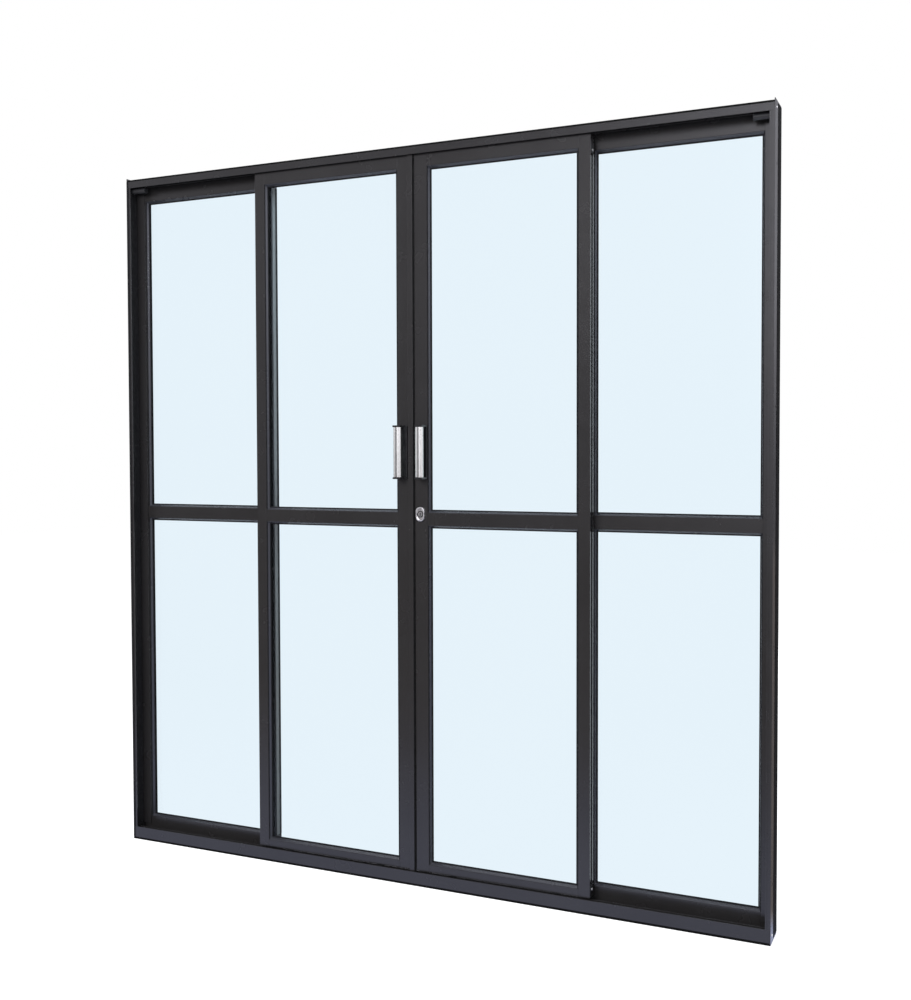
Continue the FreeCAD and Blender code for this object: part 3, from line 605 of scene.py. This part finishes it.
collars = Form()
keyways = Form()
for face, plug_face, inward in zip(LOCK_FACES, PLUG_FACES, (1, -1)):
    dish = face + inward * DISH_DEPTH
    sections = []
    for step in range(COLLAR_STEPS):
        angle = math.tau * step / COLLAR_STEPS
        section = []
        for end, rise in ((0, 0), (1, 0), (1, COLLAR_THICK), (0, COLLAR_THICK)):
            x = LOCK_MIDDLE[0] + COLLAR_RADII[end] * math.cos(angle)
            z = LOCK_MIDDLE[1] + COLLAR_RADII[end] * math.sin(angle)
            section.append((x, dish - inward * rise, z))
        sections.append(section)
    collars.loft(sections, loop=True)
    depths = sorted(plug_face + inward * depth for depth in KEYWAY_DEPTH)
    low = (LOCK_MIDDLE[0] - KEYWAY_HALF[0], depths[0], LOCK_MIDDLE[1] - KEYWAY_HALF[1])
    high = (LOCK_MIDDLE[0] + KEYWAY_HALF[0], depths[1], LOCK_MIDDLE[1] + KEYWAY_HALF[1])
    bar(keyways, low, high, KEYWAY_CHAMFER, Z)
collars.piece("lock_collars", "right_leaf", FINISHES["handle_plastic"], "handle_plastic")
keyways.piece("lock_keyways", "lock_plug", FINISHES["handle_plastic"], "handle_plastic")


# Dark strips in the rebates along the top of the head and the bottom of the sill

REBATE_STRIP_THICK = 1.0
REBATE_STRIP_BACK = 0.2
REBATE_STRIP_CHAMFER = 0.2
REBATE_STRIP_SPANS = ((HEAD_TOP - 4.9, HEAD_TOP), (0.1, 6.3))

rebate_strips = Form()
front = FRAME_FRONT + REBATE_STRIP_BACK
for ends in REBATE_STRIP_SPANS:
    low = (-SILL_HALF, front, ends[0])
    high = (SILL_HALF, front + REBATE_STRIP_THICK, ends[1])
    bar(rebate_strips, low, high, REBATE_STRIP_CHAMFER, X)
rebate_strips.piece("frame_rebate_dark_strips", "frame", BLACK_TAPE_AND_SHADE)


# Jambs: sealing tape and assembly screws outside; inside, a ribbed black strip over the wall screws that
# paints the shade of the recess

TAPE_DEPTH = (-3, FRAME_REAR - 0.2)
TAPE_SPAN = (6, 2102)
TAPE_THICK = 0.8
TAPE_CHAMFER = 0.3
ASSEMBLY_LEVELS = (20, 2086)
ASSEMBLY_DEPTH = -24
JAMB_WALL = 2
RIBBED_SHADE = ((-42, -0.1), (-42, 1.0), (-36, 1.4), (-34, 1.4), (-33.5, 0.9), (-24, 0.9), (-23.5, 1.4),
         (-17, 1.4), (-16.5, 0.9), (-7, 0.9), (-6.5, 1.4), (-1, 1.4), (1, 1.0), (1, -0.1))
RIBBED_SHADE_SPAN = (42, 2058)

for side, sign in SIDES.items():
    tape = Form()
    edges = sorted((sign * JAMB_FACE, sign * (JAMB_FACE + TAPE_THICK)))
    low, high = zip(edges, TAPE_DEPTH, TAPE_SPAN)
    bar(tape, low, high, TAPE_CHAMFER, Z)
    tape.piece(f"{side}_jamb_tape", "frame", BLACK_TAPE_AND_SHADE)
    screws = Form()
    for level in ASSEMBLY_LEVELS:
        screw_head(screws, (sign * JAMB_FACE, ASSEMBLY_DEPTH, level), (sign, 0, 0))
    screws.piece(f"{side}_jamb_screws", "frame", ZINC)
    web = JAMB_FACE - JAMB_WALL
    # Ribbed black strip on the inner web, painted shade of the recess between the jamb's front and the
    # leaves.
    ribbed_shade = strip([(sign * (web - height), through) for through, height in RIBBED_SHADE], RIBBED_SHADE_SPAN)
    ribbed_shade.piece(f"{side}_jamb_ribbed_shade", "frame", RUBBER_AND_SHADE, "stop_rubber")


# Dark strip with two low ridges on the front of the left jamb only

EDGE_DARK_STRIP = ((0, 0), (0, 0.5), (1.5, 0.8), (3.2, 0.5), (3.8, 0.5), (5.5, 0.8), (7, 0.5), (7, 0))
EDGE_SPAN = (6.5, 2095)

seal = strip([(inset - JAMB_FACE, FRAME_FRONT - height) for inset, height in EDGE_DARK_STRIP], EDGE_SPAN)
seal.piece("left_jamb_edge_dark_strip", "frame", RUBBER_AND_SHADE, "stop_rubber")


# Studio: floor, world, lamps and camera

def brightness(tree, source, stops):
    """Brightness by a value from 0 to 1."""
    ramp = node(tree, "ValToRGB", {"Fac": source})
    elements = ramp.color_ramp.elements
    while len(elements) < len(stops):
        elements.new(0.5)
    for element, (place, level) in zip(elements, stops):
        element.position = place
        element.color = (level, level, level, 1)
    return ramp.outputs["Color"]


# Brightness of the floor as reflections see it, by metres behind the door's middle
FLOOR_HALF = 12.0
FLOOR_REACH = (-3.0, 1.0)
FLOOR_GLOW = 0.79
FLOOR_TONES = ((1.1, 0.97, 0.93), (0.84, 0.9, 1.25))
FLOOR_LEVELS = ((-3.0, 0.18), (-2.2, 0.18), (-0.3, 0.95), (0.02, 0.95), (0.2, 0.2), (1.0, 0.2))


def floor():
    """Pale floor that stays white and keeps a faint shadow."""
    mesh = bpy.data.meshes.new("floor")
    corners = [(x * FLOOR_HALF, y * FLOOR_HALF, 0) for x, y in ((-1, -1), (1, -1), (1, 1), (-1, 1))]
    mesh.from_pydata(corners, [], [(0, 1, 2, 3)])
    made = bpy.data.objects.new("floor", mesh)
    scene.collection.objects.link(made)
    material = bpy.data.materials.new("studio_floor")
    material.use_nodes = True
    tree = material.node_tree
    tree.nodes.clear()
    path = node(tree, "LightPath")
    plain = node(tree, "BsdfDiffuse", {"Color": (0.5, 0.5, 0.52, 1)}).outputs["BSDF"]
    lit = node(tree, "BsdfDiffuse", {"Color": (0.75, 0.75, 0.75, 1)}).outputs["BSDF"]
    glow = node(tree, "Emission", {"Color": (1, 1, 1, 1), "Strength": FLOOR_GLOW}).outputs["Emission"]
    shaded = node(tree, "AddShader", {0: lit, 1: glow}).outputs["Shader"]
    white = node(tree, "Emission", {"Color": (1, 1, 1, 1), "Strength": 1.0}).outputs["Emission"]
    away = node(tree, "SeparateXYZ", {"Vector": node(tree, "TexCoord").outputs["Object"]}).outputs["Y"]
    start, end = FLOOR_REACH
    place = spread(tree, away, 0.0, 1.0, FLOOR_REACH)
    stops = [((metres - start) / (end - start), level) for metres, level in FLOOR_LEVELS]
    level = brightness(tree, place, stops)
    shade = tones(tree, level, *FLOOR_TONES)
    mirror = node(tree, "Emission", {"Color": shade, "Strength": level}).outputs["Emission"]
    mixed = plain
    for ray, shader in (("Is Glossy Ray", mirror), ("Is Transmission Ray", white), ("Is Camera Ray", shaded)):
        mixed = node(tree, "MixShader", {0: path.outputs[ray], 1: mixed, 2: shader}).outputs["Shader"]
    node(tree, "OutputMaterial", {"Surface": mixed})
    material.cycles.emission_sampling = "NONE"
    mesh.materials.append(material)


# Brightness of the studio as reflections see it, by degrees right of the front and by the ray's rise
AMBIENT = 0.3
BRIGHTEST = 3.6
COOLNESS = 1.1
STUDIO = ((-180, 0.25), (-150, 1.9), (-95, 2.0), (-70, 1.7), (-48, 0.8), (-40, 0.55), (-33, 0.38),
          (-26, 0.36), (-18, 0.3), (-13, 0.5), (-10.5, 1.0), (-9, 3.6), (-4, 3.6), (2, 1.9), (60, 1.9),
          (150, 1.6), (162, 0.8), (168, 0.3), (180, 0.25))
STUDIO_RISE = ((-1.0, 0.3), (-0.02, 0.3), (0.05, 0.6), (0.12, 1.0), (1.0, 1.0))


def world():
    """White behind the object; reflections see a studio that is brighter on the right."""
    made = bpy.data.worlds.new("studio")
    scene.world = made
    made.use_nodes = True
    tree = made.node_tree
    tree.nodes.clear()
    axes = node(tree, "SeparateXYZ", {"Vector": node(tree, "TexCoord").outputs["Generated"]}).outputs
    front = node(tree, "Math", {0: axes["Y"], 1: -1.0}, operation="MULTIPLY").outputs["Value"]
    angle = node(tree, "Math", {0: axes["X"], 1: front}, operation="ARCTAN2").outputs["Value"]
    turn = spread(tree, angle, 0.0, 1.0, (-math.pi, math.pi))
    around = brightness(tree, turn, [(degrees / 360 + 0.5, level / BRIGHTEST) for degrees, level in STUDIO])
    height = spread(tree, axes["Z"], 0.0, 1.0, (-1.0, 1.0))
    above = brightness(tree, height, [(rise / 2 + 0.5, level) for rise, level in STUDIO_RISE])
    seen = node(tree, "Math", {0: around, 1: above}, operation="MULTIPLY").outputs["Value"]
    path = node(tree, "LightPath")
    soft = {"Color": (0.97, 0.985, 1, 1), "Strength": AMBIENT}
    ambient = node(tree, "Background", soft).outputs["Background"]
    blue = node(tree, "Math", {0: seen, 1: COOLNESS}, operation="MULTIPLY").outputs["Value"]
    tint = node(tree, "CombineColor", {"Red": seen, "Green": seen, "Blue": blue}).outputs["Color"]
    mirror = node(tree, "Background", {"Color": tint, "Strength": BRIGHTEST}).outputs["Background"]
    white = node(tree, "Background", {"Color": (1, 1, 1, 1), "Strength": 1.0}).outputs["Background"]
    mixed = ambient
    for ray, shader in (("Is Glossy Ray", mirror), ("Is Transmission Ray", white), ("Is Camera Ray", white)):
        mixed = node(tree, "MixShader", {0: path.outputs[ray], 1: mixed, 2: shader}).outputs["Shader"]
    node(tree, "OutputWorld", {"Surface": mixed})
    made.cycles.sampling_method = "NONE"


def lamp(name, place, target, size, power, colour=(1, 1, 1), spread_degrees=180):
    """Large soft area lamp that points at a target."""
    light = bpy.data.lights.new(name, "AREA")
    light.shape = "RECTANGLE"
    light.spread = math.radians(spread_degrees)
    light.size, light.size_y = size
    light.energy = power
    light.color = colour
    made = bpy.data.objects.new(name, light)
    scene.collection.objects.link(made)
    made.location = place
    made.rotation_euler = (Vector(target) - Vector(place)).to_track_quat("-Z", "Y").to_euler()
    made.visible_glossy = False
    made.visible_transmission = False


CAMERA_PLACE = (1.47734, -3.01628, 1.24009)
CAMERA_TURN = (0.43313, -0.03189, -0.00293)
CAMERA_LENS = 42.204
CAMERA_SHIFT = (0.01143, -0.01073)


def camera():
    """The photo's camera, fitted to the door's edges."""
    yaw, pitch, roll = CAMERA_TURN
    forward = Vector((-math.sin(yaw) * math.cos(pitch), math.cos(yaw) * math.cos(pitch), math.sin(pitch)))
    level = Vector((math.cos(yaw), math.sin(yaw), 0))
    upright = level.cross(forward)
    right = level * math.cos(roll) + upright * math.sin(roll)
    up = upright * math.cos(roll) - level * math.sin(roll)
    lens = bpy.data.cameras.new("camera")
    lens.lens = CAMERA_LENS
    lens.sensor_width = 36
    lens.shift_x, lens.shift_y = CAMERA_SHIFT
    lens.dof.use_dof = False
    made = bpy.data.objects.new("camera", lens)
    scene.collection.objects.link(made)
    turn = Matrix((right, up, -forward)).transposed().to_4x4()
    made.matrix_world = Matrix.Translation(CAMERA_PLACE) @ turn
    scene.camera = made


floor()
world()
lamp("key", (-0.6, -4.4, 3.0), (0, 0, 1.1), (2.6, 2.0), 190)
lamp("side", (2.6, -3.6, 1.6), (0.3, 0, 0.8), (1.6, 1.6), 40, (0.85, 0.92, 1.0))
lamp("rim", (3.4, -0.6, 2.6), (0, 0, 2.05), (0.4, 0.8), 4.5, (0.9, 0.95, 1.0), 36)
lamp("back", (0.6, 4.2, 2.8), (0, 0, 1.0), (2.4, 1.8), 90)
camera()
scene.view_settings.view_transform = "Standard"
